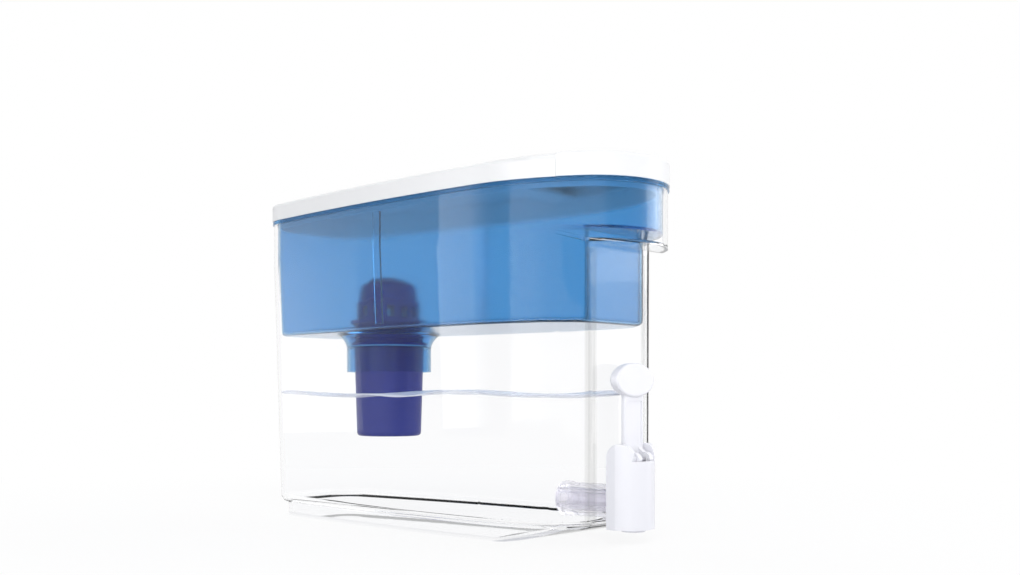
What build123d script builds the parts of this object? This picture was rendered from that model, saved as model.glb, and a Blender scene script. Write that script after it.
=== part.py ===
"""Filtering water dispenser: clear tank, blue reservoir, white lid with a fill flap, lever tap.

Millimetres. +Z is up, the tap faces -Y, and the origin is at the middle of the underside.
"""
import os
from math import asin, atan2, cos, degrees, radians

from build123d import *

os.makedirs("parts", exist_ok=True)

# Overall size and plan of the lid
overall_length = 384.0
overall_width = 145.0
overall_height = 274.0
widest_setback = 110.0      # from the nose to the widest section
nose_radius = 58.0
side_radius = 1700.0        # long sides, nearly straight
rear_corner_radius = 34.0

# Walls and clearances
tank_wall = 2.6
reservoir_wall = 2.2
lid_wall = 2.6
nest_gap = 1.2              # between the tank and the reservoir
seat_gap = 0.3              # between loose neighbours
rest_gap = 0.1              # tank rim to the flange of the reservoir
edge_slack = 0.01           # for picking the edges of one level
pin_gap = 0.05              # radial, round pins and rings

# Levels of the tank
foot_height = 11.0
floor_thickness = 3.0
band_depth = 36.1           # upright band, from the reservoir flange down
hood_depth = 42.1           # hood over the tap, from the reservoir flange down
flange_thickness = 3.0      # reservoir flange on the tank rim
flange_inset = 0.4          # its edge, in from the lid edge
lid_rim_height = 14.6
flap_rise = 2.8             # flap top over the lid top

# Plan of the tank
band_inset = 1.4            # upper band, in from the lid edge
draft_inset = 6.4           # lower body, in from the band at the floor
face_setback = 31.3         # flat front wall, from the nose
face_half = 37.5            # half width of that wall, before its corners are rounded
face_corner_radius = 12.0
cheek_depth = 16.7          # slanting cheeks beside it, along the length
cheek_round = 30.0
cheek_lean = 0.4            # inward shift of a nested wall's corner, as a share of its distance
hood_flat = 27.0            # level part of the hood's underside, from the nose
hood_end = 46.0             # where that underside has risen to the ledge
base_round = 8.0
floor_round = 3.0            # inside the tank
foot_inset = 14.0           # foot, in from the lid edge
foot_front = 104.0          # front end of the foot, from the nose
foot_ramp = 58.0            # length of the curve up to the floor there

# Reservoir
well_depth = 96.8           # from the flange to the underside of the well
well_draft = 1.2
well_front_gap = 2.4        # well to the flat front wall
well_corner_radius = 10.0
well_round = 5.0
rib_width = 8.0
rib_depth = 1.4
rib_setback = 220.5

# Filter cartridge and its socket
filter_setback = 272.0
socket_mouth_radius = 45.0
socket_radius = 35.6
socket_length = 32.0
socket_throat = 12.0        # height of the flare
throat_out = 0.3            # middle of the flare's curve, as shares of its width and height
throat_up = 0.58
socket_wall = 2.6
seat_drop = 10.5            # seat ring, below the underside of the well
seat_thickness = 2.4
filter_height = 133.8
filter_drop = 75.6          # from the seat to the bottom of the cartridge
filter_bottom_radius = 27.0
filter_bottom_round = 3.2
filter_top_radius = 29.4
filter_wall = 1.8
lower_flange_radius = 32.0
lower_flange_thickness = 2.6
neck_height = 15.0
neck_radius = 27.4
ring_count = 4
ring_radius = 29.0
ring_thickness = 2.0
upper_flange_radius = 31.6
upper_flange_thickness = 3.2
gasket_thickness = 1.2
cage_radius = 26.3
cage_height = 17.0
dome_radius = 24.8          # foot of the dome
dome_top_radius = 22.8      # at its shoulder
dome_rise = 6.5             # crown over the shoulder
dome_round = 4.6
window_count = 14
window_width = 5.4
window_height = 9.0
screen_thickness = 1.4
screen_hole = 3.6
outlet_count = 8

# Lid and fill flap
lid_edge_round = 3.0
flap_split = 44.0           # side seam of the flap, from the nose
flap_length = 132.0
flap_skirt = 3.6            # thickness of the flap's front skirt
flap_side_inset = 4.5       # flap side behind the seam, in from the lid edge
flap_rear_half = 60.5
flap_wall = 2.4
flap_edge_round = 2.4
flap_gap = 0.6
recess_depth = 6.0
rim_dip = 2.7               # rim of the lid beside the front of the flap
rim_dip_end = 104.0         # where the rim is back at its full height, from the nose
hinge_radius = 3.0
hinge_half = 40.0           # half length of the flap's hinge barrel
hinge_ear = 6.0
hinge_pin_radius = 1.2
fill_inset = 16.0           # fill opening, in from the lid edge
lip_depth = 6.0
lip_wall = 2.0
lip_gap = 0.8

# Tap
tap_axis_height = 28.8
tap_width = 39.4
tap_depth = 24.0
tap_front_radius = 20.0
tap_bottom = 10.4
tap_top = 71.0
tap_front_top = 58.8
tap_back_round = 10.0
tap_wall = 2.4
wall_gasket = 2.0
gasket_radius = 11.0
shank_radius = 8.0
shank_bore = 4.5
shank_socket = 3.0
nut_radius = 12.2
nut_flange_radius = 13.0
nut_flange_thickness = 4.0
nut_length = 44.5
shank_past_nut = 2.0
nozzle_radius = 9.0
nozzle_spigot = 6.0
nozzle_drop = 2.1
nozzle_depth = 4.0
nozzle_chamfer = 0.7

# Valve inside the tap
valve_setback = 11.5        # valve axis, out from the flat front wall
chamber_radius = 6.2
seat_height = 16.4
seat_bore = 4.0
stem_radius = 2.0
stem_flange_radius = 5.0
stem_flange_thickness = 2.0
seal_radius = 5.4
seal_thickness = 2.6
seal_gap = 0.1
seal_chamfer = 0.6
bonnet_bottom = 40.0
bonnet_thickness = 5.0
stem_ring_section = 0.9
head_radius = 3.6
head_thickness = 2.2
spring_wire = 0.9
spring_radius = 4.2
spring_turns = 6

# Lever
pivot_height = 60.0
pivot_setback = 17.5
lever_pin_radius = 1.75
lever_pin_reach = 3.5       # how far the pin goes into each cheek
hub_radius = 5.0
leg_inner = 4.6
leg_outer = 8.8
leg_gap = 0.5
arm_width = 23.0
arm_thickness = 4.0
arm_round = 1.3
panel_edge = 2.4            # border round the sunk panel of the arm
panel_depth = 0.7
panel_bottom = 70.0
arm_setback = 10.8
arm_bottom = 64.2
lug_radius = 1.0
lug_drop = 6.0
toe_radius = 1.8
paddle_width = 46.0
paddle_height = 24.4
paddle_thickness = 7.0
paddle_centre_height = 116.2
paddle_round = 1.6

# Levels and places that follow from the sizes above
front_y = -overall_length / 2
rear_y = overall_length / 2
half_width = overall_width / 2
widest_y = front_y + widest_setback
face_y = front_y + face_setback
filter_y = front_y + filter_setback
ramp_start = front_y + foot_front
ramp_end = ramp_start - foot_ramp
floor_bottom = foot_height
floor_top = floor_bottom + floor_thickness
ramp_top = floor_bottom + floor_thickness / 2
lid_top = overall_height - flap_rise
lid_bottom = lid_top - lid_rim_height
flange_bottom = lid_bottom - flange_thickness
rim_height = flange_bottom - rest_gap
ledge_height = flange_bottom - band_depth
hood_height = flange_bottom - hood_depth
hood_floor = ledge_height + tank_wall
well_bottom = flange_bottom - well_depth
base_inset = band_inset + draft_inset

# The shoulder arc that joins the nose to the widest section
shoulder_radius = (half_width**2 + (widest_setback - nose_radius) ** 2 - nose_radius**2) / (
    2 * (half_width - nose_radius)
)
shoulder_x = shoulder_radius - half_width
nose_half_angle = degrees(atan2(shoulder_x, widest_setback - nose_radius))


def body_inset_at(height):
    """Inset of the tank's lower body at a height."""
    share = (ledge_height - height) / (ledge_height - floor_bottom)
    return band_inset + draft_inset * share


def side_end(inset):
    """Angle at which the long side arc meets the rear end."""
    return degrees(asin((rear_y - inset - widest_y) / (side_radius - inset)))


def side_half(setback):
    """Half width of the lid behind its widest section, at a distance from the nose."""
    return half_width - side_radius + (side_radius**2 - (setback - widest_setback) ** 2) ** 0.5


def plan(inset):
    """Plan of the lid, drawn in by an inset all round."""
    sweep_angle = side_end(inset)
    half_rear = half_width - side_radius + (side_radius - inset) * cos(radians(sweep_angle))
    with BuildSketch() as face:
        with BuildLine():
            CenterArc((0, front_y + nose_radius), nose_radius - inset,
                      270 - nose_half_angle, 2 * nose_half_angle)
            for sign, start in ((1, nose_half_angle - 90), (-1, 180)):
                CenterArc((-sign * shoulder_x, widest_y), shoulder_radius - inset,
                          start, 90 - nose_half_angle)
            for sign, start in ((1, 0), (-1, 180 - sweep_angle)):
                CenterArc((sign * (half_width - side_radius), widest_y), side_radius - inset,
                          start, sweep_angle)
            Line((-half_rear, rear_y - inset), (half_rear, rear_y - inset))
        make_face()
        fillet(face.vertices().group_by(Axis.Y)[-1], rear_corner_radius - inset)
    return face.sketch


def sharp_plan(inset, front):
    """The plan cut off flat at a Y in front of its widest section, with slanting cheeks."""
    sweep_angle = side_end(inset)
    half_rear = half_width - side_radius + (side_radius - inset) * cos(radians(sweep_angle))
    radius = shoulder_radius - inset
    start_angle = degrees(asin((front + cheek_depth - widest_y) / radius))
    cheek_half = radius * cos(radians(start_angle)) - shoulder_x
    flat_half = face_half - cheek_lean * (front - face_y)
    with BuildSketch() as face:
        with BuildLine():
            Polyline((-cheek_half, front + cheek_depth), (-flat_half, front), (flat_half, front),
                     (cheek_half, front + cheek_depth))
            for sign, start in ((1, start_angle), (-1, 180)):
                CenterArc((-sign * shoulder_x, widest_y), radius, start, -start_angle)
            for sign, start in ((1, 0), (-1, 180 - sweep_angle)):
                CenterArc((sign * (half_width - side_radius), widest_y), side_radius - inset,
                          start, sweep_angle)
            Line((-half_rear, rear_y - inset), (half_rear, rear_y - inset))
        make_face()
        fillet(face.vertices().group_by(Axis.Y)[-1], rear_corner_radius - inset)
    return face.sketch


def cut_plan(inset, front, corner):
    """The plan cut off flat, with the corners of the cut and of its cheeks rounded."""
    with BuildSketch() as face:
        add(sharp_plan(inset, front))
        fillet(face.vertices().group_by(Axis.Y)[1], cheek_round)
        fillet(face.vertices().group_by(Axis.Y)[0], corner)
    return face.sketch


def drafted_block(bottom, top, bottom_inset, top_inset, front, corner, lower_round):
    """Solid between two cut plans, its upright corners and its lower edges rounded."""
    with BuildPart() as block:
        with BuildSketch(Plane.XY.offset(bottom)):
            add(sharp_plan(bottom_inset, front))
        with BuildSketch(Plane.XY.offset(top)):
            add(sharp_plan(top_inset, front))
        loft(ruled=True)
        for edge_y, radius in ((front + cheek_depth, cheek_round), (front, corner)):
            uprights = block.edges().filter_by_position(Axis.Y, edge_y - edge_slack, edge_y + edge_slack)
            uprights = uprights.sort_by(Axis.X)
            fillet([uprights[0], uprights[-1]], radius)
        fillet(block.edges().group_by(Axis.Z)[0], lower_round)
    return block.part


def nose_only(inset, length):
    """The front of the plan, back to a given length from the nose."""
    with BuildSketch() as face:
        add(plan(inset))
        with Locations((0, front_y + length)):
            Rectangle(overall_width, overall_length, align=(Align.CENTER, Align.MIN), mode=Mode.SUBTRACT)
    return face.sketch


def side_plane(x):
    """Upright plane across X whose sketch axes are Y and Z."""
    return Plane((x, 0, 0), x_dir=(0, 1, 0), z_dir=(1, 0, 0))


def band_block(inset, rise):
    """Upper band with the hood: the plan drawn in, its underside lifted by a wall."""
    with BuildPart() as block:
        with BuildSketch(Plane.XY.offset(hood_height + rise)):
            add(plan(inset))
        extrude(amount=rim_height - hood_height - rise)
        with BuildSketch(side_plane(0)):
            Polygon((front_y + hood_flat, hood_height + rise), (front_y + hood_end, ledge_height + rise),
                    (rear_y, ledge_height + rise), (rear_y, hood_height + rise), align=None)
        extrude(amount=overall_width, both=True, mode=Mode.SUBTRACT)
    return block.part


def foot_block(inset, rise):
    """Foot under the tank, curving up at its front, with its underside lifted by a wall."""
    with BuildPart() as block:
        with BuildSketch(Plane.XY.offset(rise)):
            add(cut_plan(inset, ramp_end, face_corner_radius))
        extrude(amount=floor_top - rise)
        with BuildSketch(side_plane(0)):
            with BuildLine():
                Polyline((ramp_start, rise), (ramp_end, rise), (ramp_end, ramp_top + rise))
                TangentArc((ramp_start, rise), (ramp_end, ramp_top + rise), tangent=(-1, 0))
            make_face()
        extrude(amount=overall_width, both=True, mode=Mode.SUBTRACT)
    return block.part


# Tank: upper band with the hood, lower body drawn in towards the floor, foot under it
with BuildPart() as tank:
    add(drafted_block(floor_bottom, ledge_height, base_inset, band_inset,
                      face_y, face_corner_radius, base_round))
    add(band_block(band_inset, 0))
    add(band_block(band_inset + tank_wall, tank_wall), mode=Mode.SUBTRACT)
    add(foot_block(foot_inset, 0))
    # Inside of the lower body and of the foot
    add(drafted_block(floor_top, hood_floor, base_inset + tank_wall, band_inset + tank_wall,
                      face_y + tank_wall, face_corner_radius - tank_wall, floor_round), mode=Mode.SUBTRACT)
    add(foot_block(foot_inset + tank_wall, floor_thickness), mode=Mode.SUBTRACT)
    with BuildSketch(Plane((0, face_y, tap_axis_height), x_dir=(1, 0, 0), z_dir=(0, -1, 0))):
        Circle(shank_radius + seat_gap)
    extrude(amount=2 * tank_wall, both=True, mode=Mode.SUBTRACT)
tank.part.label = "tank"
export_step(tank.part, "parts/tank.step")


# Reservoir: flange, upper walls over the hood, deep well behind it, filter socket under the well
upper_inset = band_inset + tank_wall + nest_gap
shelf_bottom = hood_floor + nest_gap
shelf_top = shelf_bottom + reservoir_wall
well_inset = body_inset_at(well_bottom) + tank_wall + nest_gap + well_draft
well_front = face_y + tank_wall + well_front_gap
well_floor = well_bottom + reservoir_wall
seat_top = well_bottom - seat_drop
socket_bottom = well_bottom - socket_length
throat_bottom = well_bottom - socket_throat
socket_bore = socket_radius - socket_wall
filter_axis = Axis((0, filter_y, 0), (0, 0, 1))
filter_plane = Plane((0, filter_y, 0), x_dir=(1, 0, 0), z_dir=(0, -1, 0))
seat_bore_radius = filter_top_radius + 2 * seat_gap


def throat(mouth, neck, top, bottom):
    """Point on the hollow curve of the socket's flare, between its two ends."""
    return (neck + (mouth - neck) * throat_out, bottom + (top - bottom) * throat_up)


with BuildPart() as reservoir:
    with BuildSketch(Plane.XY.offset(shelf_bottom)):
        add(plan(upper_inset))
    extrude(amount=flange_bottom - shelf_bottom)
    add(drafted_block(well_bottom, shelf_top, well_inset, upper_inset,
                      well_front, well_corner_radius, well_round))
    with BuildSketch(Plane.XY.offset(flange_bottom)):
        add(plan(flange_inset))
    extrude(amount=flange_thickness)
    with BuildSketch(Plane.XY.offset(shelf_top)):
        add(plan(upper_inset + reservoir_wall))
    extrude(amount=lid_bottom - shelf_bottom, mode=Mode.SUBTRACT)
    with BuildSketch(Plane.XY.offset(well_floor)):
        add(cut_plan(well_inset + reservoir_wall, well_front + reservoir_wall,
                     well_corner_radius - reservoir_wall))
    with BuildSketch(Plane.XY.offset(shelf_top)):
        add(cut_plan(upper_inset + reservoir_wall, well_front + reservoir_wall,
                     well_corner_radius - reservoir_wall))
    loft(ruled=True, mode=Mode.SUBTRACT)
    fillet(reservoir.edges().filter_by_position(Axis.Z, well_floor - edge_slack, well_floor + edge_slack),
           well_round - reservoir_wall)
    # Upright ribs inside the two long walls
    rib_half = side_half(rib_setback) - reservoir_wall
    for sign in (-1, 1):
        for height, inset in ((well_bottom + well_round, well_inset), (shelf_bottom, upper_inset)):
            with BuildSketch(Plane.XY.offset(height)):
                with Locations((sign * (rib_half - inset), front_y + rib_setback)):
                    Rectangle(2 * rib_depth, rib_width)
        loft(ruled=True)
        with BuildSketch(Plane.XY.offset(shelf_bottom)):
            with Locations((sign * (rib_half - upper_inset), front_y + rib_setback)):
                Rectangle(2 * rib_depth, rib_width)
        extrude(amount=lid_bottom - lip_depth - nest_gap - shelf_bottom)
    # Filter socket
    with BuildSketch(filter_plane):
        with BuildLine():
            mouth_in = socket_mouth_radius - socket_wall
            Polyline((mouth_in, well_floor), (socket_mouth_radius, well_floor),
                     (socket_mouth_radius, well_bottom))
            ThreePointArc((socket_mouth_radius, well_bottom),
                          throat(socket_mouth_radius, socket_radius, well_bottom, throat_bottom),
                          (socket_radius, throat_bottom))
            Polyline((socket_radius, throat_bottom), (socket_radius, socket_bottom),
                     (socket_bore, socket_bottom), (socket_bore, seat_top - seat_thickness),
                     (seat_bore_radius, seat_top - seat_thickness), (seat_bore_radius, seat_top),
                     (socket_bore, seat_top), (socket_bore, throat_bottom + socket_wall / 2))
            ThreePointArc((socket_bore, throat_bottom + socket_wall / 2),
                          throat(mouth_in, socket_bore, well_floor, throat_bottom + socket_wall / 2),
                          (mouth_in, well_floor))
        make_face()
    revolve(axis=filter_axis)
    with BuildSketch(Plane.XY.offset(well_bottom)):
        with Locations((0, filter_y)):
            Circle(mouth_in)
    extrude(amount=reservoir_wall, mode=Mode.SUBTRACT)
reservoir.part.label = "reservoir"
export_step(reservoir.part, "parts/reservoir.step")


# Filter cartridge, from its bottom up
filter_bottom = seat_top - filter_drop
gasket_top = seat_top + gasket_thickness
neck_bottom = gasket_top + lower_flange_thickness
neck_top = neck_bottom + neck_height
cap_bottom = neck_top + upper_flange_thickness
filter_top = filter_bottom + filter_height
cup_floor = filter_bottom + filter_wall
neck_bore = neck_radius - filter_wall

with BuildPart() as filter_shell:
    with BuildSketch(filter_plane):
        Polygon((0, filter_bottom), (filter_bottom_radius, filter_bottom),
                (filter_top_radius, gasket_top), (lower_flange_radius, gasket_top),
                (lower_flange_radius, neck_bottom), (neck_radius, neck_bottom),
                (neck_radius, neck_top), (upper_flange_radius, neck_top),
                (upper_flange_radius, cap_bottom), (0, cap_bottom), align=None)
    revolve(axis=filter_axis)
    fillet(filter_shell.edges().group_by(Axis.Z)[0], filter_bottom_round)
    ring_pitch = neck_height / ring_count
    for ring in range(ring_count):
        with BuildSketch(Plane.XY.offset(neck_bottom + (ring + 0.5) * ring_pitch - ring_thickness / 2)):
            with Locations((0, filter_y)):
                Circle(ring_radius)
        extrude(amount=ring_thickness)
    with BuildSketch(filter_plane):
        Polygon((0, cup_floor), (filter_bottom_radius - filter_wall, cup_floor),
                (filter_top_radius - filter_wall, gasket_top), (neck_bore, neck_bottom),
                (neck_bore, cap_bottom), (0, cap_bottom), align=None)
    revolve(axis=filter_axis, mode=Mode.SUBTRACT)
    with BuildSketch(Plane.XY.offset(filter_bottom)):
        with Locations((0, filter_y)):
            with PolarLocations(filter_bottom_radius / 2, outlet_count):
                SlotOverall(filter_bottom_radius / 2, screen_hole)
    extrude(amount=filter_wall, mode=Mode.SUBTRACT)
filter_shell.part.label = "filter_shell"
export_step(filter_shell.part, "parts/filter_shell.step")

# Domed cap: a cage with inlet windows under a rounded top
cage_top = cap_bottom + cage_height
dome_shoulder = filter_top - dome_rise


def dome_profile(shrink, bottom):
    """Half section of the cap, drawn in by a wall thickness."""
    edge_radius = dome_top_radius - shrink
    rise = filter_top - shrink - dome_shoulder
    crown_radius = (edge_radius**2 + rise**2) / (2 * rise)
    crown_angle = degrees(asin(edge_radius / crown_radius))
    with BuildSketch(filter_plane) as half:
        with BuildLine():
            Polyline((0, filter_top - shrink), (0, bottom), (cage_radius - shrink, bottom),
                     (cage_radius - shrink, cage_top - shrink - filter_wall),
                     (dome_radius - shrink, cage_top - shrink), (edge_radius, dome_shoulder))
            CenterArc((0, filter_top - shrink - crown_radius), crown_radius,
                      90 - crown_angle, crown_angle)
        make_face()
        fillet(half.vertices().sort_by_distance((edge_radius, dome_shoulder))[0], dome_round - shrink)
    return half.sketch


with BuildPart() as filter_cap:
    add(dome_profile(0, cap_bottom))
    revolve(axis=filter_axis)
    with BuildSketch(Plane.XY.offset(cap_bottom - filter_wall)):
        with Locations((0, filter_y)):
            Circle(neck_bore - pin_gap)
    extrude(amount=filter_wall)
    add(dome_profile(filter_wall, cap_bottom - filter_wall))
    revolve(axis=filter_axis, mode=Mode.SUBTRACT)
    with Locations((0, filter_y, cap_bottom + cage_height / 2 - filter_wall)):
        with PolarLocations(cage_radius, window_count):
            Box(4 * filter_wall, window_width, window_height, mode=Mode.SUBTRACT)
filter_cap.part.label = "filter_cap"
export_step(filter_cap.part, "parts/filter_cap.step")

with BuildPart() as filter_seal:
    with BuildSketch(Plane.XY.offset(seat_top)):
        with Locations((0, filter_y)):
            Circle(lower_flange_radius)
            Circle(filter_top_radius + pin_gap, mode=Mode.SUBTRACT)
    extrude(amount=gasket_thickness)
filter_seal.part.label = "filter_seal"
export_step(filter_seal.part, "parts/filter_seal.step")

# Screens and the filter bed between them
media_bottom = cup_floor + screen_thickness
media_radius = filter_bottom_radius - filter_wall - seat_gap
screen_radius = neck_bore - seat_gap
screen_pitch = 2 * screen_hole
screen_places = [
    (column * screen_pitch, row * screen_pitch)
    for column in range(-3, 4)
    for row in range(-3, 4)
    if (column**2 + row**2) ** 0.5 * screen_pitch < screen_radius - screen_hole
]

with BuildPart() as filter_bottom_screen:
    with BuildSketch(Plane.XY.offset(cup_floor)):
        with Locations((0, filter_y)):
            Circle(media_radius)
            with Locations(*screen_places):
                Circle(screen_hole / 2, mode=Mode.SUBTRACT)
    extrude(amount=screen_thickness)
filter_bottom_screen.part.label = "filter_bottom_screen"
export_step(filter_bottom_screen.part, "parts/filter_bottom_screen.step")

with BuildPart() as filter_media:
    with BuildSketch(Plane.XY.offset(media_bottom)):
        with Locations((0, filter_y)):
            Circle(min(media_radius, screen_radius))
    extrude(amount=neck_bottom - media_bottom)
filter_media.part.label = "filter_media"
export_step(filter_media.part, "parts/filter_media.step")

with BuildPart() as filter_top_screen:
    with BuildSketch(Plane.XY.offset(neck_bottom)):
        with Locations((0, filter_y)):
            Circle(screen_radius)
            with Locations(*screen_places):
                Circle(screen_hole / 2, mode=Mode.SUBTRACT)
    extrude(amount=screen_thickness)
filter_top_screen.part.label = "filter_top_screen"
export_step(filter_top_screen.part, "parts/filter_top_screen.step")

# Lid: rim, top plate, recessed deck under the flap, fill opening, lip into the reservoir, hinge ears
deck_top = lid_top - recess_depth
deck_bottom = deck_top - lid_wall
hinge_y = front_y + flap_length + hinge_radius
hinge_height = overall_height - hinge_radius - seat_gap
recess_length = flap_length + 2 * hinge_radius + 2 * flap_gap
nose_inset = flap_skirt + flap_gap
lip_inset = upper_inset + reservoir_wall + lip_gap


def half_at(setback):
    """Half width of the lid at a distance from the nose."""
    across = (shoulder_radius**2 - (widest_setback - setback) ** 2) ** 0.5
    return across - shoulder_x


def flap_plan(grow):
    """Plan of the flap behind its side seam, grown by a gap at the sides."""
    seam_half = half_at(flap_split) - flap_side_inset + grow
    middle_setback = (flap_split + flap_length) / 2
    rear_half = flap_rear_half + grow
    middle_half = (half_at(middle_setback) + grow
                   - (flap_side_inset + half_width - flap_rear_half) / 2)
    seam_y = front_y + flap_split
    with BuildSketch() as face:
        with BuildLine():
            Line((-seam_half, seam_y), (seam_half, seam_y))
            for sign in (-1, 1):
                ThreePointArc((sign * seam_half, seam_y),
                              (sign * middle_half, front_y + middle_setback),
                              (sign * rear_half, front_y + flap_length))
            Line((-rear_half, front_y + flap_length), (rear_half, front_y + flap_length))
        make_face()
    return face.sketch


with BuildPart() as lid:
    with BuildSketch(Plane.XY.offset(lid_bottom)):
        add(plan(0))
    extrude(amount=lid_rim_height)
    fillet(lid.edges().group_by(Axis.Z)[-1], lid_edge_round)
    # The flap's skirt wraps round the nose, so the lid is drawn in there
    with BuildSketch(Plane.XY.offset(lid_bottom)):
        with Locations((0, front_y + flap_split + seat_gap)):
            Rectangle(2 * overall_width, overall_length, align=(Align.CENTER, Align.MAX))
        add(plan(nose_inset), mode=Mode.SUBTRACT)
    extrude(amount=lid_rim_height, mode=Mode.SUBTRACT)
    # Hollow underneath
    with BuildSketch(Plane.XY.offset(lid_bottom)):
        add(plan(lid_wall))
        with Locations((0, front_y + flap_split + seat_gap + lid_wall)):
            Rectangle(2 * overall_width, overall_length, align=(Align.CENTER, Align.MAX),
                      mode=Mode.SUBTRACT)
        add(plan(nose_inset + lid_wall))
    extrude(amount=deck_bottom - lid_bottom, mode=Mode.SUBTRACT)
    with BuildSketch(Plane.XY.offset(deck_bottom)):
        add(plan(lid_wall))
        with Locations((0, front_y + recess_length + lid_wall)):
            Rectangle(2 * overall_width, overall_length, align=(Align.CENTER, Align.MAX),
                      mode=Mode.SUBTRACT)
    extrude(amount=lid_top - lid_wall - deck_bottom, mode=Mode.SUBTRACT)
    # Lip into the reservoir
    with BuildSketch(Plane.XY.offset(lid_bottom - lip_depth)):
        add(plan(lip_inset))
        add(plan(lip_inset + lip_wall), mode=Mode.SUBTRACT)
    extrude(amount=lip_depth + lid_rim_height - lid_wall)
    # Recess under the flap and the fill opening through its deck
    with BuildSketch(Plane.XY.offset(deck_top)):
        add(flap_plan(flap_gap))
        add(nose_only(0, flap_split + seat_gap))
        with Locations((0, front_y + flap_length)):
            Rectangle(2 * (flap_rear_half + flap_gap), recess_length - flap_length,
                      align=(Align.CENTER, Align.MIN))
    extrude(amount=2 * recess_depth, mode=Mode.SUBTRACT)
    with BuildSketch(Plane.XY.offset(deck_bottom)):
        add(nose_only(fill_inset, flap_length - fill_inset))
    extrude(amount=lid_wall, mode=Mode.SUBTRACT)
    with BuildSketch(side_plane(0)):
        Polygon((front_y, lid_top - rim_dip), (front_y + flap_split, lid_top - rim_dip),
                (front_y + rim_dip_end, lid_top), (front_y, lid_top), align=None)
    extrude(amount=overall_width, both=True, mode=Mode.SUBTRACT)
    # Hinge ears with the pin hole
    ear_radius = hinge_radius - seat_gap
    for sign in (-1, 1):
        with BuildSketch(Plane((sign * (hinge_half + seat_gap + hinge_ear / 2), hinge_y, hinge_height),
                               x_dir=(0, 1, 0), z_dir=(1, 0, 0))):
            Circle(ear_radius)
            Rectangle(2 * ear_radius, hinge_height - deck_top, align=(Align.CENTER, Align.MAX))
            Circle(hinge_pin_radius + pin_gap, mode=Mode.SUBTRACT)
        extrude(amount=hinge_ear / 2, both=True)
lid.part.label = "lid"
export_step(lid.part, "parts/lid.step")

# Fill flap: hollow shell with a skirt round the nose and a hinge barrel at its rear edge
flap_bottom = deck_top + seat_gap
with BuildPart() as fill_flap:
    with BuildSketch(Plane.XY.offset(lid_bottom + seat_gap)):
        add(nose_only(0, flap_split))
    extrude(amount=overall_height - lid_bottom - seat_gap)
    with BuildSketch(Plane.XY.offset(flap_bottom)):
        add(flap_plan(0))
    extrude(amount=overall_height - flap_bottom)
    fillet(fill_flap.edges().group_by(Axis.Z)[-1], flap_edge_round)
    with BuildSketch(Plane.XY.offset(lid_bottom)):
        add(nose_only(flap_skirt, flap_split))
    extrude(amount=overall_height - flap_wall - lid_bottom, mode=Mode.SUBTRACT)
    with BuildSketch(Plane.XY.offset(flap_bottom)):
        add(flap_plan(-flap_wall))
        with Locations((0, front_y + flap_length - flap_wall)):
            Rectangle(overall_width, overall_length, align=(Align.CENTER, Align.MIN), mode=Mode.SUBTRACT)
    extrude(amount=overall_height - flap_wall - flap_bottom, mode=Mode.SUBTRACT)
    with BuildSketch(Plane((0, hinge_y, hinge_height), x_dir=(0, 1, 0), z_dir=(1, 0, 0))):
        Circle(hinge_radius)
        Rectangle(hinge_radius + flap_wall / 2, hinge_radius, align=(Align.MAX, Align.MIN))
        Circle(hinge_pin_radius + pin_gap, mode=Mode.SUBTRACT)
    extrude(amount=hinge_half, both=True)
fill_flap.part.label = "fill_flap"
export_step(fill_flap.part, "parts/fill_flap.step")

with BuildPart() as flap_hinge_pin:
    with BuildSketch(Plane((0, hinge_y, hinge_height), x_dir=(0, 1, 0), z_dir=(1, 0, 0))):
        Circle(hinge_pin_radius)
    extrude(amount=hinge_half + seat_gap + hinge_ear, both=True)
flap_hinge_pin.part.label = "flap_hinge_pin"
export_step(flap_hinge_pin.part, "parts/flap_hinge_pin.step")


# Tap body: D-shaped column with cheeks for the lever, valve chamber, inlet, nozzle seat
tap_back = face_y - wall_gasket
tap_front = tap_back - tap_depth
valve_y = face_y - valve_setback
pivot_y = face_y - pivot_setback
arm_y = face_y - arm_setback
slot_half = arm_width / 2 + leg_gap
pocket_half = leg_outer + leg_gap
bonnet_top = bonnet_bottom + bonnet_thickness
cheek_crest = pivot_setback - hub_radius + seat_gap
front_shelf = pivot_setback + hub_radius / 2
pocket_back = tap_back - tap_wall
pocket_front = pivot_y - hub_radius - leg_gap
slot_bottom = pivot_height + lever_pin_radius + leg_gap
front_sagitta = tap_front_radius - (tap_front_radius**2 - (tap_width / 2) ** 2) ** 0.5
tap_plane = Plane((0, face_y, tap_axis_height), x_dir=(1, 0, 0), z_dir=(0, -1, 0))

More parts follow.
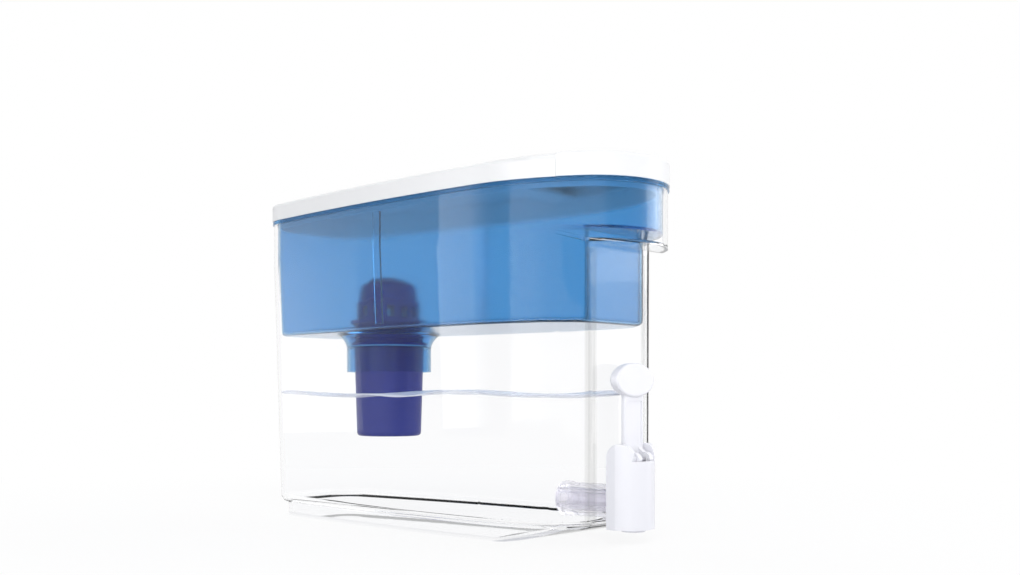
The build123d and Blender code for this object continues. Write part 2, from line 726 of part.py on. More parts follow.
with BuildPart() as tap_housing:
    with BuildSketch(Plane.XY.offset(tap_bottom)):
        with BuildLine():
            side_y = tap_front + front_sagitta
            Polyline((-tap_width / 2, side_y), (-tap_width / 2, tap_back),
                     (tap_width / 2, tap_back), (tap_width / 2, side_y))
            ThreePointArc((-tap_width / 2, side_y), (0, tap_front), (tap_width / 2, side_y))
        make_face()
    extrude(amount=tap_top - tap_bottom)
    # Side outline: round at the back, falling to the front opening
    with BuildSketch(side_plane(0)) as outline:
        with BuildLine():
            crest_y = face_y - cheek_crest
            shelf_y = face_y - front_shelf
            Polyline((crest_y, tap_top), (tap_back, tap_top), (tap_back, tap_bottom),
                     (tap_front, tap_bottom), (tap_front, tap_front_top), (shelf_y, tap_front_top))
            TangentArc((crest_y, tap_top), (shelf_y, tap_front_top), tangent=(-1, 0))
        make_face()
        fillet(outline.vertices().sort_by_distance((tap_back, tap_top))[0], tap_back_round)
    extrude(amount=tap_width, both=True, mode=Mode.INTERSECT)
    # Slot and pocket for the lever
    with BuildSketch(Plane.XY.offset(slot_bottom)):
        with Locations((0, pocket_back)):
            Rectangle(2 * slot_half, 2 * tap_depth, align=(Align.CENTER, Align.MAX))
    extrude(amount=tap_top - slot_bottom, mode=Mode.SUBTRACT)
    with BuildSketch(Plane.XY.offset(bonnet_top)):
        with Locations((0, pocket_back)):
            Rectangle(2 * pocket_half, pocket_back - pocket_front, align=(Align.CENTER, Align.MAX))
    extrude(amount=tap_top - bonnet_top, mode=Mode.SUBTRACT)
    with BuildSketch(Plane.XY.offset(tap_front_top)):
        with Locations((0, pocket_back)):
            Rectangle(2 * pocket_half, 2 * tap_depth, align=(Align.CENTER, Align.MAX))
    extrude(amount=tap_top - tap_front_top, mode=Mode.SUBTRACT)
    # Valve chamber and way out
    with BuildSketch(Plane.XY.offset(seat_height)):
        with Locations((0, valve_y)):
            Circle(chamber_radius)
    extrude(amount=bonnet_top - seat_height, mode=Mode.SUBTRACT)
    with BuildSketch(Plane.XY.offset(tap_bottom)):
        with Locations((0, valve_y)):
            Circle(seat_bore)
    extrude(amount=seat_height - tap_bottom, mode=Mode.SUBTRACT)
    with BuildSketch(Plane.XY.offset(tap_bottom)):
        with Locations((0, valve_y)):
            Circle(nozzle_spigot + pin_gap)
    extrude(amount=nozzle_depth, mode=Mode.SUBTRACT)
    # Inlet and the socket of the shank
    with BuildSketch(tap_plane):
        Circle(shank_bore)
    extrude(amount=valve_setback, mode=Mode.SUBTRACT)
    with BuildSketch(tap_plane):
        Circle(shank_radius + pin_gap)
    extrude(amount=wall_gasket + shank_socket, mode=Mode.SUBTRACT)
    # Blind holes for the lever pin
    with BuildSketch(side_plane(0)):
        with Locations((pivot_y, pivot_height)):
            Circle(lever_pin_radius + pin_gap)
    extrude(amount=pocket_half + lever_pin_reach, both=True, mode=Mode.SUBTRACT)
tap_housing.part.label = "tap_housing"
export_step(tap_housing.part, "parts/tap_housing.step")

with BuildPart() as spout_nozzle:
    with BuildSketch(Plane.XY.offset(tap_bottom - nozzle_drop)):
        with Locations((0, valve_y)):
            Circle(nozzle_radius)
    extrude(amount=nozzle_drop)
    chamfer(spout_nozzle.edges().group_by(Axis.Z)[0], nozzle_chamfer)
    with BuildSketch(Plane.XY.offset(tap_bottom)):
        with Locations((0, valve_y)):
            Circle(nozzle_spigot)
    extrude(amount=nozzle_depth)
    with BuildSketch(Plane.XY.offset(tap_bottom - nozzle_drop)):
        with Locations((0, valve_y)):
            Circle(seat_bore)
    extrude(amount=nozzle_drop + nozzle_depth, mode=Mode.SUBTRACT)
spout_nozzle.part.label = "spout_nozzle"
export_step(spout_nozzle.part, "parts/spout_nozzle.step")

# Gaskets on both sides of the tank wall, shank through it, sleeve nut inside
inner_face = tank_wall + wall_gasket        # from the flat front face to the nut
with BuildPart() as outer_gasket:
    with BuildSketch(tap_plane):
        Circle(gasket_radius)
        Circle(shank_radius + pin_gap, mode=Mode.SUBTRACT)
    extrude(amount=wall_gasket)
outer_gasket.part.label = "outer_gasket"
export_step(outer_gasket.part, "parts/outer_gasket.step")

with BuildPart() as inner_gasket:
    with BuildSketch(tap_plane.offset(-inner_face)):
        Circle(gasket_radius)
        Circle(shank_radius + pin_gap, mode=Mode.SUBTRACT)
    extrude(amount=wall_gasket)
inner_gasket.part.label = "inner_gasket"
export_step(inner_gasket.part, "parts/inner_gasket.step")

with BuildPart() as tap_shank:
    with BuildSketch(tap_plane.offset(-(inner_face + nut_length + shank_past_nut))):
        Circle(shank_radius)
        Circle(shank_bore, mode=Mode.SUBTRACT)
    extrude(amount=inner_face + nut_length + shank_past_nut + wall_gasket + shank_socket)
tap_shank.part.label = "tap_shank"
export_step(tap_shank.part, "parts/tap_shank.step")

with BuildPart() as tap_nut:
    with BuildSketch(tap_plane.offset(-inner_face)):
        Circle(nut_radius)
    extrude(amount=-nut_length)
    with BuildSketch(tap_plane.offset(-(inner_face + nut_length))):
        Circle(nut_flange_radius)
    extrude(amount=nut_flange_thickness)
    with BuildSketch(tap_plane.offset(-inner_face)):
        Circle(shank_radius + pin_gap)
    extrude(amount=-nut_length, mode=Mode.SUBTRACT)
tap_nut.part.label = "tap_nut"
export_step(tap_nut.part, "parts/tap_nut.step")

# Valve: seal, stem, spring, bonnet and ring, one above the other on the valve axis
seal_bottom = seat_height + seal_gap
stem_bottom = seal_bottom + seal_thickness
flange_top = stem_bottom + stem_flange_thickness
head_bottom = pivot_height - lug_drop + lug_radius + seat_gap
ring_middle = bonnet_bottom + bonnet_thickness / 2

with BuildPart() as valve_seal:
    with BuildSketch(Plane.XY.offset(seal_bottom)):
        with Locations((0, valve_y)):
            Circle(seal_radius)
    extrude(amount=seal_thickness)
    chamfer(valve_seal.edges().group_by(Axis.Z)[0], seal_chamfer)
valve_seal.part.label = "valve_seal"
export_step(valve_seal.part, "parts/valve_seal.step")

with BuildPart() as valve_stem:
    for radius, bottom, height in (
        (stem_flange_radius, stem_bottom, stem_flange_thickness),
        (stem_radius, flange_top, head_bottom - flange_top),
        (head_radius, head_bottom, head_thickness),
    ):
        with BuildSketch(Plane.XY.offset(bottom)):
            with Locations((0, valve_y)):
                Circle(radius)
        extrude(amount=height)
valve_stem.part.label = "valve_stem"
export_step(valve_stem.part, "parts/valve_stem.step")

with BuildPart() as valve_bonnet:
    with BuildSketch(Plane.XY.offset(bonnet_bottom)):
        with Locations((0, valve_y)):
            Circle(chamber_radius - pin_gap)
            Circle(stem_radius + pin_gap, mode=Mode.SUBTRACT)
    extrude(amount=bonnet_thickness)
    with BuildSketch(Plane.XY.offset(ring_middle - stem_ring_section / 2 - pin_gap)):
        with Locations((0, valve_y)):
            Circle(stem_radius + stem_ring_section + 2 * pin_gap)
    extrude(amount=stem_ring_section + 2 * pin_gap, mode=Mode.SUBTRACT)
valve_bonnet.part.label = "valve_bonnet"
export_step(valve_bonnet.part, "parts/valve_bonnet.step")

with BuildPart() as stem_ring:
    with Locations((0, valve_y, ring_middle)):
        Torus(stem_radius + pin_gap + stem_ring_section / 2, stem_ring_section / 2)
stem_ring.part.label = "stem_ring"
export_step(stem_ring.part, "parts/stem_ring.step")

spring_bottom = flange_top + spring_wire / 2 + pin_gap
spring_height = bonnet_bottom - pin_gap - spring_wire / 2 - spring_bottom
with BuildPart() as return_spring:
    with BuildLine() as coil:
        Helix(spring_height / spring_turns, spring_height, spring_radius, center=(0, valve_y, spring_bottom))
    with BuildSketch(Plane(coil.line @ 0, z_dir=coil.line % 0)):
        Circle(spring_wire / 2)
    sweep()
return_spring.part.label = "return_spring"
export_step(return_spring.part, "parts/return_spring.step")

# Lever: two legs on the pivot, toes under the stem head, arm and oval paddle
toe_y = valve_y
toe_height = pivot_height - lug_drop
with BuildPart() as tap_lever:
    for sign in (-1, 1):
        with BuildSketch(side_plane(sign * leg_inner)):
            with Locations((pivot_y, pivot_height)):
                Circle(hub_radius)
            with Locations((toe_y, toe_height)):
                Circle(toe_radius)
            make_hull()
            Polygon((pivot_y - hub_radius, pivot_height), (pivot_y + hub_radius, pivot_height),
                    (arm_y + arm_thickness / 2, arm_bottom + arm_thickness),
                    (arm_y - arm_thickness / 2, arm_bottom + arm_thickness), align=None)
            with Locations((pivot_y, pivot_height)):
                Circle(lever_pin_radius + pin_gap, mode=Mode.SUBTRACT)
        extrude(amount=sign * (leg_outer - leg_inner))
        with BuildSketch(side_plane(sign * (stem_radius + 2 * seat_gap))):
            with Locations((toe_y, toe_height)):
                Circle(lug_radius)
        extrude(amount=sign * (leg_inner - stem_radius))
    with BuildSketch(Plane.XY.offset(arm_bottom)):
        with Locations((0, arm_y)):
            RectangleRounded(arm_width, arm_thickness, arm_round)
    extrude(amount=paddle_centre_height - arm_bottom)
    with BuildSketch(Plane((0, arm_y, paddle_centre_height), x_dir=(1, 0, 0), z_dir=(0, -1, 0))):
        Ellipse(paddle_width / 2, paddle_height / 2)
    extrude(amount=paddle_thickness / 2, both=True)
    fillet(tap_lever.edges().filter_by(GeomType.ELLIPSE), paddle_round)
    # Sunk panel in the front of the arm
    with BuildSketch(Plane((0, arm_y - arm_thickness / 2, panel_bottom), x_dir=(1, 0, 0), z_dir=(0, -1, 0))):
        panel_height = paddle_centre_height - paddle_height / 2 - panel_edge - panel_bottom
        RectangleRounded(arm_width - 2 * panel_edge, panel_height, arm_round, align=(Align.CENTER, Align.MIN))
    extrude(amount=-panel_depth, mode=Mode.SUBTRACT)
tap_lever.part.label = "tap_lever"
export_step(tap_lever.part, "parts/tap_lever.step")

with BuildPart() as lever_pin:
    with BuildSketch(side_plane(0)):
        with Locations((pivot_y, pivot_height)):
            Circle(lever_pin_radius)
    extrude(amount=pocket_half + lever_pin_reach - seat_gap, both=True)
lever_pin.part.label = "lever_pin"
export_step(lever_pin.part, "parts/lever_pin.step")
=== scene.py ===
import math

import bmesh
import bpy
from mathutils import Matrix, Vector


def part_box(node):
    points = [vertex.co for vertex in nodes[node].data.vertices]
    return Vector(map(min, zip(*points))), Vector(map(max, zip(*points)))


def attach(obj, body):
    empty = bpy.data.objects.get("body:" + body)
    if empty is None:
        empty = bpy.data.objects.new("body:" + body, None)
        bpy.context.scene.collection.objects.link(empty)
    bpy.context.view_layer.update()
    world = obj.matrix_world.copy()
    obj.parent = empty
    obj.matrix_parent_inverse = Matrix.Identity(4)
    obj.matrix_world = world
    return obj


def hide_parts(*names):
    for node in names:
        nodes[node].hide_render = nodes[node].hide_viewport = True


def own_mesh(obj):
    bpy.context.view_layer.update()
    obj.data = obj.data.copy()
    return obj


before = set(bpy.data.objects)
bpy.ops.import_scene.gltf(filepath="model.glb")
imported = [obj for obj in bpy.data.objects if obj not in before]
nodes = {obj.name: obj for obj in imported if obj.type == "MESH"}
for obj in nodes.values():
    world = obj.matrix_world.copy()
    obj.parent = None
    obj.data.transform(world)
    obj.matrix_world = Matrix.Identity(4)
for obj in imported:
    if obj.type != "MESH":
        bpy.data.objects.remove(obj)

scene = bpy.context.scene
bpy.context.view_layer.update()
mergeDistance = 1e-6
print("frame loaded with", len(nodes), "nodes")


# shader maths

class Wire:
    # one output socket; arithmetic on it adds Math nodes to its finish
    def __init__(self, finish, socket):
        self.finish = finish
        self.socket = socket

    def calc(self, operation, other=0.0):
        return self.finish.maths(operation, self, other)

    def __add__(self, other):
        return self.calc("ADD", other)

    def __radd__(self, other):
        return self.finish.maths("ADD", other, self)

    def __sub__(self, other):
        return self.calc("SUBTRACT", other)

    def __rsub__(self, other):
        return self.finish.maths("SUBTRACT", other, self)

    def __mul__(self, other):
        return self.calc("MULTIPLY", other)

    def __rmul__(self, other):
        return self.finish.maths("MULTIPLY", other, self)

    def __lt__(self, other):
        return self.calc("LESS_THAN", other)

    def __abs__(self):
        return self.calc("ABSOLUTE")


class Finish:
    # the node tree of a material or of the world
    def __init__(self, holder):
        holder.use_nodes = True
        self.holder = holder
        self.tree = holder.node_tree
        self.tree.nodes.clear()

    def add(self, kind, settings, inputs, output=0):
        node = self.tree.nodes.new(kind)
        for key, value in settings.items():
            if key == "stops":
                while len(node.color_ramp.elements) < len(value):
                    node.color_ramp.elements.new(0.5)
                for element, (position, tone) in zip(node.color_ramp.elements, value):
                    element.position = position
                    element.color = tone
            else:
                setattr(node, key, value)
        for key, value in inputs.items():
            if isinstance(value, Wire):
                self.tree.links.new(value.socket, node.inputs[key])
            else:
                node.inputs[key].default_value = value
        if len(node.outputs):
            return Wire(self, node.outputs[output])

    def maths(self, operation, first, second):
        return self.add("ShaderNodeMath", {"operation": operation}, {0: first, 1: second})

    def place(self):
        return self.add("ShaderNodeTexCoord", {}, {}, "Object")

    def split(self, vector, axes):
        return [self.add("ShaderNodeSeparateXYZ", {}, {0: vector}, axis) for axis in axes]

    def cloud(self, scale, detail, stretch=(1, 1, 1)):
        spot = self.add("ShaderNodeMapping", {}, {"Vector": self.place(), "Scale": stretch})
        return self.add("ShaderNodeTexNoise", {}, {"Vector": spot, "Scale": scale, "Detail": detail}, "Fac")

    def blend(self, factor, first, second):
        return self.add("ShaderNodeMix", {"data_type": "RGBA"}, {0: factor, 6: first, 7: second}, 2)

    def bump(self, height, strength, distance):
        return self.add("ShaderNodeBump", {}, {"Height": height, "Strength": strength, "Distance": distance})

    def rays(self, *kinds):
        return [self.add("ShaderNodeLightPath", {}, {}, kind) for kind in kinds]

    # 1 for the rays that look at a thing directly, in gloss or through clear walls
    def looking(self):
        seen, mirrored, through = self.rays("Is Camera Ray", "Is Glossy Ray", "Is Transmission Ray")
        return (seen + mirrored + through).calc("MINIMUM", 1.0)

    def done(self, surface, volume=None):
        sockets = {"Surface": surface}
        if volume:
            sockets["Volume"] = volume
        self.add("ShaderNodeOutputMaterial", {}, sockets)
        return self.holder


def newFinish(name):
    return Finish(bpy.data.materials.new(name))


def colour(red, green, blue):
    return (red, green, blue, 1.0)


def grey(level):
    return colour(level, level, level)


# painted shade along the two upright front corners, standing in for the walls' own edge shading, strongest at
# the edges of each strip
strips = {"firm": 0.7, "faint": 0.4}


def cornerMask(finish, zone):
    x, y, z = finish.split(finish.place(), "XYZ")
    off = abs(abs(x) - zone["middle"])
    strip = finish.add("ShaderNodeMapRange", {"interpolation_type": "SMOOTHSTEP"}, {
        "Value": off, "From Min": zone["half"], "From Max": zone["half"] * strips["firm"],
    })
    rims = strips["faint"] + (1 - strips["faint"]) / zone["half"] * off
    return strip * rims * (y < zone["behind"]) * (z < zone["top"])


# clear and tinted mouldings: refraction, faint flow ripples, absorption in the wall, open to soft light, with
# painted shade strips on the front corners where a spec gives them
flow = {"rippleDetail": 1.0, "rippleDepth": 0.0004, "hazeScale": 140.0, "hazeDetail": 3.0}


def seeThrough(name, spec):
    finish = newFinish(name)
    ripple = finish.cloud(spec["rippleScale"], flow["rippleDetail"], spec["rippleStretch"])
    haze = finish.cloud(flow["hazeScale"], flow["hazeDetail"])
    tint = finish.blend(ripple, spec["tint"], spec["tintDeep"])
    # painted shade: the corner strips blend the wall colour towards a darker tone
    if "corner" in spec:
        tint = finish.blend(cornerMask(finish, spec["corner"]), tint, spec["corner"]["tint"])
    body = finish.add("ShaderNodeBsdfPrincipled", {}, {
        "Base Color": tint,
        "Roughness": spec["rough"] + haze * spec["roughSpread"],
        "IOR": spec["ior"],
        "Specular Tint": grey(spec["gleam"]),
        "Transmission Weight": spec["clear"],
        "Normal": finish.bump(ripple, spec["rippleStrength"], flow["rippleDepth"]),
    })
    passing = finish.add("ShaderNodeBsdfTransparent", {}, {"Color": spec["shade"]})
    shadowRay, softRay = finish.rays("Is Shadow Ray", "Is Diffuse Ray")
    opened = shadowRay.calc("MAXIMUM", softRay)
    surface = finish.add("ShaderNodeMixShader", {}, {0: opened, 1: body, 2: passing})
    volume = finish.add("ShaderNodeVolumeAbsorption", {}, {
        "Color": spec["inside"], "Density": spec["density"],
    })
    return finish.done(surface, volume)


tankClear = seeThrough("tank_clear", {
    "tint": colour(0.998, 0.998, 1.0), "tintDeep": colour(0.988, 0.99, 0.995),
    "shade": colour(0.98, 0.985, 0.99), "inside": colour(0.62, 0.63, 0.68), "density": 8.0,
    "rough": 0.0, "roughSpread": 0.03, "ior": 1.27, "gleam": 0.4, "clear": 1.0,
    # painted shade: greyer strips down the tank's two front corners
    "corner": {"middle": 0.0325, "half": 0.0052, "behind": -0.15, "top": 0.209,
               "tint": colour(0.68, 0.68, 0.67)},
    "rippleScale": 5.0, "rippleStretch": (1, 1, 0.3), "rippleStrength": 0.05,
})
reservoirBlue = seeThrough("reservoir_blue", {
    "tint": colour(0.28, 0.56, 0.80), "tintDeep": colour(0.25, 0.53, 0.785),
    "shade": colour(0.66, 0.83, 0.94), "inside": colour(0.2, 0.55, 0.8), "density": 50.0,
    "rough": 0.12, "roughSpread": 0.05, "ior": 1.32, "gleam": 0.25, "clear": 1.0,
    # painted shade: dark lines down the well's two front corners
    "corner": {"middle": 0.0318, "half": 0.0016, "behind": -0.145, "top": 0.2235,
               "tint": colour(0.01, 0.05, 0.1)},
    "rippleScale": 6.0, "rippleStretch": (1, 1, 0.25), "rippleStrength": 0.06,
})
fittingClear = seeThrough("fitting_clear", {
    "tint": colour(0.965, 0.955, 0.985), "tintDeep": colour(0.94, 0.93, 0.965),
    "shade": colour(0.94, 0.94, 0.96), "inside": colour(0.6, 0.58, 0.68), "density": 5.0,
    "rough": 0.1, "roughSpread": 0.08, "ior": 1.17, "gleam": 0.7, "clear": 0.9,
    "rippleScale": 30.0, "rippleStretch": (1, 0.3, 1), "rippleStrength": 0.1,
})
waterClear = seeThrough("water_clear", {
    "tint": colour(0.92, 0.93, 0.98), "tintDeep": colour(0.86, 0.88, 0.96),
    "shade": colour(0.96, 0.97, 0.98), "inside": colour(0.7, 0.76, 0.9), "density": 2.0,
    "rough": 0.05, "roughSpread": 0.1, "ior": 1.025, "gleam": 0.8, "clear": 0.4,
    "rippleScale": 28.0, "rippleStretch": (1, 1, 1), "rippleStrength": 0.03,
})


# opaque mouldings and metal: slow colour drift, satin grain, fine surface texture
skinGrain = {"driftDetail": 2.0, "grainDetail": 4.0, "grainDepth": 0.0002, "coatRough": 0.12}


def moulding(name, spec):
    finish = newFinish(name)
    drift = finish.cloud(spec["driftScale"], skinGrain["driftDetail"])
    grain = finish.cloud(spec["grainScale"], skinGrain["grainDetail"])
    surface = finish.add("ShaderNodeBsdfPrincipled", {}, {
        "Base Color": finish.blend(drift, spec["pale"], spec["deep"]),
        "Roughness": spec["rough"] + grain * spec["roughSpread"],
        "Metallic": spec.get("metal", 0.0),
        "Specular IOR Level": spec["gleam"],
        "Coat Weight": spec.get("coat", 0.0),
        "Coat Roughness": skinGrain["coatRough"],
        "Normal": finish.bump(grain, spec["grainStrength"], skinGrain["grainDepth"]),
    })
    return finish.done(surface)


lidWhite = moulding("lid_white", {
    "pale": colour(0.83, 0.835, 0.84), "deep": colour(0.81, 0.815, 0.825), "driftScale": 6.0,
    "grainScale": 700.0, "grainStrength": 0.05, "rough": 0.26, "roughSpread": 0.14,
    "coat": 0.06, "gleam": 0.2,
})
tapWhite = moulding("tap_white", {
    "pale": colour(0.82, 0.82, 0.86), "deep": colour(0.80, 0.80, 0.845), "driftScale": 18.0,
    "grainScale": 900.0, "grainStrength": 0.05, "rough": 0.3, "roughSpread": 0.14, "gleam": 0.2,
})
cartridgeNavy = moulding("cartridge_navy", {
    "pale": colour(0.013, 0.026, 0.24), "deep": colour(0.009, 0.019, 0.19), "driftScale": 22.0,
    "grainScale": 600.0, "grainStrength": 0.002, "rough": 0.36, "roughSpread": 0.02, "gleam": 0.15,
})
sealRubber = moulding("seal_rubber", {
    "pale": colour(0.72, 0.73, 0.75), "deep": colour(0.62, 0.63, 0.66), "driftScale": 60.0,
    "grainScale": 1500.0, "grainStrength": 0.2, "rough": 0.5, "roughSpread": 0.2, "gleam": 0.4,
})
pinSteel = moulding("pin_steel", {
    "pale": colour(0.66, 0.66, 0.68), "deep": colour(0.54, 0.54, 0.57), "driftScale": 90.0,
    "grainScale": 2400.0, "grainStrength": 0.12, "rough": 0.22, "roughSpread": 0.2,
    "metal": 1.0, "gleam": 0.5,
})
screenPlastic = moulding("screen_plastic", {
    "pale": colour(0.74, 0.76, 0.80), "deep": colour(0.64, 0.66, 0.71), "driftScale": 70.0,
    "grainScale": 1200.0, "grainStrength": 0.15, "rough": 0.45, "roughSpread": 0.2, "gleam": 0.4,
})


# loose grains of the filter bed
bed = {"light": colour(0.16, 0.16, 0.17), "lightTo": 0.1, "dark": colour(0.02, 0.02, 0.022), "darkFrom": 0.7,
       "scale": 700.0, "rough": 0.6, "roughSpread": 0.3, "relief": 0.6, "depth": 0.0008}


def grains():
    finish = newFinish("bed_grains")
    cell = finish.add("ShaderNodeTexVoronoi", {}, {
        "Vector": finish.place(), "Scale": bed["scale"],
    }, "Distance")
    stops = [(bed["lightTo"], bed["light"]), (bed["darkFrom"], bed["dark"])]
    surface = finish.add("ShaderNodeBsdfPrincipled", {}, {
        "Base Color": finish.add("ShaderNodeValToRGB", {"stops": stops}, {"Fac": cell}),
        "Roughness": bed["rough"] + cell * bed["roughSpread"],
        "Normal": finish.bump(1 - cell, bed["relief"], bed["depth"]),
    })
    return finish.done(surface)


finishGroups = [
    (tankClear, ["tank"]),
    (reservoirBlue, ["reservoir"]),
    (fittingClear, ["tap_nut", "tap_shank"]),
    (lidWhite, ["lid", "fill_flap"]),
    (tapWhite, ["tap_housing", "tap_lever", "spout_nozzle", "valve_bonnet", "valve_stem"]),
    (cartridgeNavy, ["filter_shell", "filter_cap"]),
    (sealRubber, ["filter_seal", "outer_gasket", "inner_gasket", "valve_seal", "stem_ring"]),
    (pinSteel, ["flap_hinge_pin", "lever_pin", "return_spring"]),
    (screenPlastic, ["filter_bottom_screen", "filter_top_screen"]),
    (grains(), ["filter_media"]),
]
finishOf = {name: finish for finish, names in finishGroups for name in names}
for name, node in nodes.items():
    node.data.materials.clear()
    node.data.materials.append(finishOf[name])
print("finishes on", len(finishOf), "nodes")


# pieces

def meshObject(name, shape, finish):
    mesh = bpy.data.meshes.new(name)
    shape.to_mesh(mesh)
    shape.free()
    mesh.materials.append(finish)
    thing = bpy.data.objects.new(name, mesh)
    scene.collection.objects.link(thing)
    return thing


def newPiece(name, shape, finish, body):
    piece = meshObject(name, shape, finish)
    for face in piece.data.polygons:
        face.use_smooth = True
    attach(piece, body)
    return piece


# a node's mesh comes as loose triangles, so a copy has its doubles merged first
def mergedCopy(nodeName):
    shape = bmesh.new()
    shape.from_mesh(nodes[nodeName].data)
    bmesh.ops.remove_doubles(shape, verts=shape.verts[:], dist=mergeDistance)
    return shape


# the cut through a node at one height, with its loops as groups of vertices
def sectionLoops(nodeName, height):
    cut = mergedCopy(nodeName)
    bmesh.ops.bisect_plane(cut, geom=cut.verts[:] + cut.edges[:] + cut.faces[:], dist=mergeDistance / 10,
                           plane_co=(0, 0, height), plane_no=(0, 0, 1), clear_inner=True, clear_outer=True)
    bmesh.ops.remove_doubles(cut, verts=cut.verts[:], dist=mergeDistance)
    waiting = dict.fromkeys(cut.verts)
    loops = []
    while waiting:
        group = [next(iter(waiting))]
        del waiting[group[0]]
        for vert in group:
            for edge in vert.link_edges:
                other = edge.other_vert(vert)
                if other in waiting:
                    del waiting[other]
                    group.append(other)
        loops.append(group)
    return cut, loops


def reach(group, axis):
    values = [vert.co[axis] for vert in group]
    return min(values), max(values)


def span(group, axis):
    low, high = reach(group, axis)
    return high - low


def middle(group, axis):
    low, high = reach(group, axis)
    return (high + low) / 2


# water in the tank: a thin rippled skin cut from the tank's own section, open round the cartridge
water = {
    "level": 0.1068, "thickness": 0.0009, "wallGap": 0.0004, "holeGap": 0.0012, "holeSides": 48,
    "step": 0.006, "longest": 0.009, "wave": 0.0022,
    "ripples": [{"along": 61, "across": 23, "start": 0.0, "share": 0.6},
                {"along": 27, "across": -38, "start": 1.3, "share": 0.7}],
}


def longEdges(shape):
    return [edge for edge in shape.edges if edge.calc_length() > water["longest"]]


def waterShape():
    skin, loops = sectionLoops("tank", water["level"])
    loops.sort(key=lambda group: span(group, 1))
    print("water section", [(len(group), round(span(group, 1), 4)) for group in loops])
    inside = loops[-2]  # next to the longest, which is the outside of the wall
    others = [vert for group in loops if group is not inside for vert in group]
    bmesh.ops.delete(skin, geom=others, context="VERTS")
    verts = skin.verts[:]
    centre = Vector((middle(verts, 0), middle(verts, 1), 0))
    shrink = Vector((1 - 2 * water["wallGap"] / span(verts, 0), 1 - 2 * water["wallGap"] / span(verts, 1), 1))
    bmesh.ops.scale(skin, vec=shrink, verts=verts, space=Matrix.Translation(-centre))
    for edge in skin.edges[:]:
        cuts = int(edge.calc_length() / water["step"])
        if cuts:
            bmesh.ops.subdivide_edges(skin, edges=[edge], cuts=cuts)

    # hole for the cartridge
    low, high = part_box("filter_shell")
    shellCut, shellLoops = sectionLoops("filter_shell", water["level"])
    holeRadius = max(span(group, 0) for group in shellLoops) / 2 + water["holeGap"]
    shellCut.free()
    hole = Matrix.Translation(((low.x + high.x) / 2, (low.y + high.y) / 2, water["level"]))
    bmesh.ops.create_circle(skin, segments=water["holeSides"], radius=holeRadius, matrix=hole)

    # even mesh between the two rims
    bmesh.ops.triangle_fill(skin, use_beauty=True, use_dissolve=False, edges=skin.edges[:], normal=(0, 0, 1))
    tooLong = longEdges(skin)
    while tooLong:
        bmesh.ops.subdivide_edges(skin, edges=tooLong, cuts=1)
        bmesh.ops.triangulate(skin, faces=skin.faces[:])
        bmesh.ops.beautify_fill(skin, faces=skin.faces[:], edges=skin.edges[:])
        tooLong = longEdges(skin)

    # ripples, then the thickness
    for vert in skin.verts:
        x, y = vert.co.x, vert.co.y
        lifts = [math.sin(ripple["along"] * y + ripple["across"] * x + ripple["start"]) * ripple["share"]
                 for ripple in water["ripples"]]
        vert.co.z += water["wave"] * sum(lifts)
    bmesh.ops.recalc_face_normals(skin, faces=skin.faces[:])
    bmesh.ops.solidify(skin, geom=skin.faces[:], thickness=water["thickness"])
    bmesh.ops.recalc_face_normals(skin, faces=skin.faces[:])
    return skin


newPiece("water_skin", waterShape(), waterClear, "tank")
print("water laid at", water["level"])

# valve spring: a copy of the frame's coil, carried by the tank
spring = newPiece("valve_coil", mergedCopy("return_spring"), pinSteel, "tank")
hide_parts("return_spring")
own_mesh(spring)


# stage: pale floor, soft lamps, white surround for what looks at it or through to it

ground = {"size": 6.0, "paper": colour(0.86, 0.86, 0.87), "rough": 0.7,
          "near": 0.25, "far": 0.75, "nearWhite": 0.88, "white": 1.0}


def floorFinish():
    finish = newFinish("floor_pale")
    away = finish.add("ShaderNodeVectorMath", {"operation": "LENGTH"}, {0: finish.place()}, "Value")
    fade = finish.add("ShaderNodeMapRange", {"interpolation_type": "SMOOTHSTEP"}, {
        "Value": away, "From Min": ground["near"], "From Max": ground["far"], "To Min": ground["nearWhite"],
    })
    paper = finish.add("ShaderNodeBsdfPrincipled", {}, {
        "Base Color": ground["paper"], "Roughness": ground["rough"],
    })
    glow = finish.add("ShaderNodeEmission", {}, {"Color": grey(1), "Strength": ground["white"]})
    return finish.done(finish.add("ShaderNodeMixShader", {}, {0: finish.looking() * fade, 1: paper, 2: glow}))


floorShape = bmesh.new()
bmesh.ops.create_grid(floorShape, x_segments=2, y_segments=2, size=ground["size"])
floor = meshObject("floor", floorShape, floorFinish())

surround = {"white": 1.0, "soft": 0.5, "softTint": colour(0.97, 0.98, 1.0)}
air = Finish(bpy.data.worlds.new("surround"))
white = air.add("ShaderNodeBackground", {}, {"Color": grey(1), "Strength": surround["white"]})
soft = air.add("ShaderNodeBackground", {}, {"Color": surround["softTint"], "Strength": surround["soft"]})
sky = air.add("ShaderNodeMixShader", {}, {0: air.looking(), 1: soft, 2: white})
air.add("ShaderNodeOutputWorld", {}, {"Surface": sky})
scene.world = air.holder

lamps = [
    {"name": "key_lamp", "at": (-1.15, -1.3, 1.5), "size": 1.3, "watts": 27.0},
    {"name": "fill_lamp", "at": (1.5, -0.9, 1.0), "size": 1.4, "watts": 12.0},
    {"name": "back_lamp", "at": (0.3, 1.6, 1.4), "size": 1.4, "watts": 12.0},
]
aim = Vector((0, 0, 0.13))
for spec in lamps:
    lamp = bpy.data.lights.new(spec["name"], "AREA")
    lamp.shape = "SQUARE"
    lamp.size = spec["size"]
    lamp.energy = spec["watts"]
    holder = bpy.data.objects.new(spec["name"], lamp)
    holder.location = spec["at"]
    holder.rotation_euler = (aim - Vector(spec["at"])).to_track_quat("-Z", "Y").to_euler()
    holder.visible_glossy = False
    scene.collection.objects.link(holder)

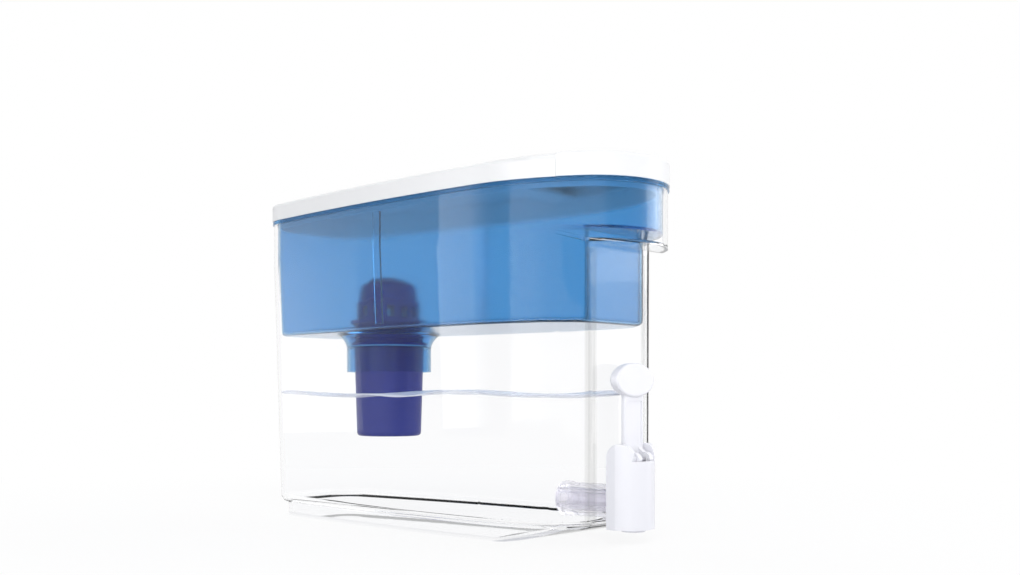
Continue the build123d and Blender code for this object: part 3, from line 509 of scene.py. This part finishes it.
# upright reflection cards on the floor, fading along and up, seen in the gloss alone
cards = [
    {"name": "rear_card", "start": (-0.40, 1.30), "end": (-0.66, 0.96), "high": 0.46,
     "power": 4.2, "dim": 0.7, "topFade": 1.0},
    {"name": "side_card", "start": (-0.82, 0.75), "end": (-1.0, 0.49), "high": 0.8,
     "power": 9.0, "dim": 0.0, "topFade": 0.3},
    {"name": "shoulder_card", "start": (-1.11, 0.21), "end": (-1.15, -0.45), "high": 0.8,
     "power": 9.0, "dim": 0.55, "topFade": 0.3},
    {"name": "nose_card", "start": (-1.15, -0.46), "end": (-0.75, -1.4), "high": 0.8,
     "power": 5.0, "dim": 0.9, "topFade": 0.3},
    {"name": "front_card", "start": (1.0, -0.70), "end": (0.62, -1.02), "high": 0.5,
     "power": 5.0, "dim": 0.9, "topFade": 0.4},
]


def cardFinish(spec):
    finish = newFinish(spec["name"])
    along, up = finish.split(finish.add("ShaderNodeTexCoord", {}, {}, "Generated"), "YZ")
    level = (spec["dim"] + along * (1 - spec["dim"])) * (1 - up * spec["topFade"])
    glow = finish.add("ShaderNodeEmission", {}, {"Color": grey(1), "Strength": spec["power"]})
    clear = finish.add("ShaderNodeBsdfTransparent", {}, {"Color": grey(1)})
    return finish.done(finish.add("ShaderNodeMixShader", {}, {0: level, 1: clear, 2: glow}))


for spec in cards:
    shape = bmesh.new()
    foot = [shape.verts.new((*spec[key], 0)) for key in ("start", "end")]
    head = [shape.verts.new((*spec[key], spec["high"])) for key in ("end", "start")]
    shape.faces.new(foot + head)
    card = meshObject(spec["name"], shape, cardFinish(spec))
    card.visible_camera = card.visible_diffuse = card.visible_transmission = card.visible_shadow = False

# camera at the photograph's place
shot = {"at": (-0.6911, -0.6559, 0.1075), "turn": -49.03, "lens": 41.5, "sensor": 36.0, "shift": 0.1028}
camera = bpy.data.cameras.new("camera")
camera.lens = shot["lens"]
camera.sensor_width = shot["sensor"]
camera.shift_y = shot["shift"]
cameraHolder = bpy.data.objects.new("camera", camera)
cameraHolder.location = shot["at"]
cameraHolder.rotation_euler = (math.radians(90), 0, math.radians(shot["turn"]))
scene.collection.objects.link(cameraHolder)
scene.camera = cameraHolder
scene.view_settings.view_transform = "Standard"
print("stage set")
